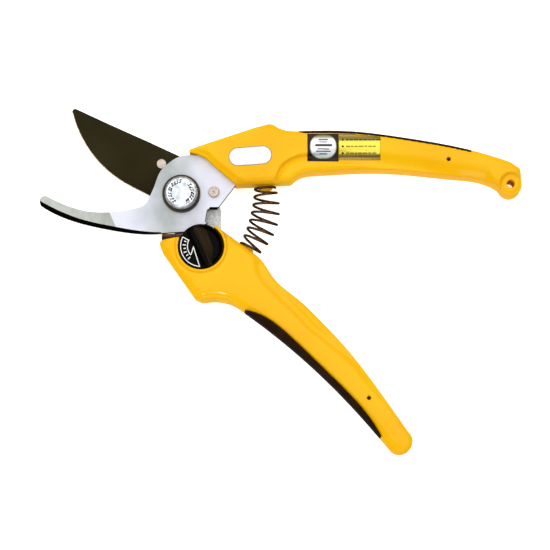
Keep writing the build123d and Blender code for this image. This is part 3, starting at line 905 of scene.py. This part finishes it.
def ribbon(name, line, width, low, high, material):
    """A thin band on the left of a line of points, between two heights."""
    vertices = []
    for i, here in enumerate(line):
        ahead = np.array(line[min(i + 1, len(line) - 1)]) - np.array(line[max(i - 1, 0)])
        inward = np.array((-ahead[1], ahead[0])) / np.hypot(*ahead)
        for z in (low, high):
            for push in (0.02, width):
                x, y = np.array(here) + inward * push
                vertices.append((x, y, z))
    faces = []
    for i in range(len(line) - 1):
        a, b = 4 * i, 4 * i + 4
        for p, q in ((0, 1), (1, 3), (3, 2), (2, 0)):
            faces.append((a + p, a + q, b + q, b + p))
    last = 4 * (len(line) - 1)
    faces.append((0, 2, 3, 1))
    faces.append((last, last + 1, last + 3, last + 2))
    return add_mesh(name, vertices, faces, material, smooth=False)


def worn_edges():
    """A thin line of bare steel along the cutting edge, and a black line round the plate's notch that is
    painted shade for the shadow gap at its edge.
    """
    bare = ribbon("cutting_edge_wear", cutting_edge_line(), 0.28, BLADE_TOP - 0.1, BLADE_TOP + 0.03,
                  BARE_EDGE)
    place(bare, "blade_side", "blade_coating")
    # Painted shade: a black strip along the notch edge stands in for the shadow gap there.
    black = ribbon("notch_edge_painted_shade", NOTCH_EDGE, 0.32, PLATE_TOP - 0.3, PLATE_TOP + 0.03,
                   FINISHES["black_oxide"])
    place(black, "hook_side", "black_oxide")


def spring_turn(t):
    """Angle of the spring's axis round the pivot at a share of its way."""
    return math.radians(SPRING_ANGLES[0] + (SPRING_ANGLES[1] - SPRING_ANGLES[0]) * max(t, 0))


def spring_point(t):
    """The wire's centre at a share of its way. Before 0 it is the flat closed end."""
    turn = spring_turn(t)
    axis_r = SPRING_AXIS_R + SPRING_DRIFT * math.sin(math.pi * min(max(t, 0), 0.75) / 1.5)
    coil_r = COIL_R + COIL_SWELL * math.sin(math.pi * max(t, 0))
    wind = math.pi * (1 - 2 * SPRING_TURNS * t)
    out = axis_r + coil_r * math.cos(wind)
    return np.array((out * math.cos(turn), out * math.sin(turn), MID_Z - coil_r * math.sin(wind)))


def spring():
    """The return spring as one round wire, bent between its two seats."""
    rings, sides = 32 * SPRING_TURNS, 12
    closed_rings = 16
    vertices = []
    for k in range(-closed_rings, rings + 1):
        t = k / rings
        here = spring_point(t)
        ahead = spring_point(t + 1e-4) - spring_point(t - 1e-4)
        ahead /= np.linalg.norm(ahead)
        axis = np.array((math.sin(spring_turn(t)), -math.cos(spring_turn(t)), 0))
        u = np.cross(ahead, axis)
        u /= np.linalg.norm(u)
        v = np.cross(ahead, u)
        for i in range(sides):
            around = 2 * math.pi * i / sides
            vertices.append(here + WIRE_R * (math.cos(around) * u + math.sin(around) * v))
    faces = []
    for k in range(closed_rings + rings):
        a, b = k * sides, (k + 1) * sides
        for i in range(sides):
            j = (i + 1) % sides
            faces.append((a + i, a + j, b + j, b + i))
    faces.append(list(range(sides))[::-1])
    faces.append([len(vertices) - sides + i for i in range(sides)])
    obj = add_mesh("coil_spring", vertices, faces, FINISHES["spring_steel"])
    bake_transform(obj)
    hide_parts("return_spring")


def cushion():
    """The brown cushion under the plate, softened from its CAD shape."""
    obj = fine_mesh("bumper", "stop_cushion", 0.35)
    obj.data.materials.append(FINISHES["bumper_rubber"])
    place(obj, "blade_side", "bumper_rubber", "bumper")


# Camera, floor and light


def area_light(name, at, toward, size, power):
    """A rectangular light at one place that faces another."""
    data = bpy.data.lights.new(name, "AREA")
    data.shape = "RECTANGLE"
    data.size, data.size_y = (s * MM for s in size)
    data.energy = power
    obj = bpy.data.objects.new(name, data)
    obj.location = Vector(at) * MM
    obj.rotation_euler = (Vector(toward) - Vector(at)).to_track_quat("-Z", "Y").to_euler()
    bpy.context.scene.collection.objects.link(obj)


def floor():
    """White floor that the tool doesn't mirror."""
    finish = Finish("floor", base=(0.93, 0.93, 0.93), roughness=0.7)
    finish.colour(finish.ramp(finish.noise(400), (0.0, 0.92, 0.92, 0.92), (1.0, 0.95, 0.95, 0.95)))
    finish.shader.inputs["Emission Color"].default_value = (1, 1, 1, 1)
    finish.shader.inputs["Emission Strength"].default_value = 0.62
    corners = [(x * 3000, y * 3000, -0.02) for x, y in ((-1, -1), (1, -1), (1, 1), (-1, 1))]
    obj = add_mesh("floor", corners, [(0, 1, 2, 3)], finish.material)
    obj.visible_glossy = False


def lights():
    """A soft panel overhead, a lamp for glints, weak light from three sides, and a dim white world."""
    area_light("panel", (200, 500, 1800), VIEW_CENTRE, (3600, 3600), 60)
    area_light("lamp", (-90, -820, 1040), VIEW_CENTRE, (40, 40), 1.0)
    area_light("left", (-420, 120, 480), VIEW_CENTRE, (420, 8), 0.8)
    area_light("right", (500, 320, 350), VIEW_CENTRE, (400, 500), 0.3)
    area_light("front", (40, -700, 320), VIEW_CENTRE, (900, 180), 1.2)
    world = bpy.data.worlds.new("studio")
    world.use_nodes = True
    world.node_tree.nodes["Background"].inputs["Color"].default_value = (1, 1, 1, 1)
    world.node_tree.nodes["Background"].inputs["Strength"].default_value = 0.12
    bpy.context.scene.world = world
    bpy.context.scene.view_settings.view_transform = "Standard"


def camera():
    """A long lens from nearly straight above."""
    data = bpy.data.cameras.new("camera")
    data.sensor_width = 36
    data.lens = data.sensor_width * VIEW_DISTANCE / VIEW_WIDTH
    obj = bpy.data.objects.new("camera", data)
    x, y, z = VIEW_CENTRE
    back = VIEW_DISTANCE * math.sin(VIEW_LEAN)
    up = VIEW_DISTANCE * math.cos(VIEW_LEAN)
    obj.location = Vector((x, y - back, z + up)) * MM
    obj.rotation_euler = (VIEW_LEAN, 0, 0)
    bpy.context.scene.collection.objects.link(obj)
    bpy.context.scene.camera = obj


dress_cad_nodes()
upper = handle("upper_handle", "upper_grip_body", "hook_side", upper_relief)
handle("lower_handle", "lower_grip_body", "blade_side", lower_relief)
upper_surface = surface_of(upper)
label(upper_surface)
seal(upper_surface)
label_rows(upper_surface)
badge(upper_surface)
cap_nut()
cap_nut_marks()
rivet_faces()
dial()
dial_ticks()
worn_edges()
spring()
cushion()
floor()
lights()
camera()
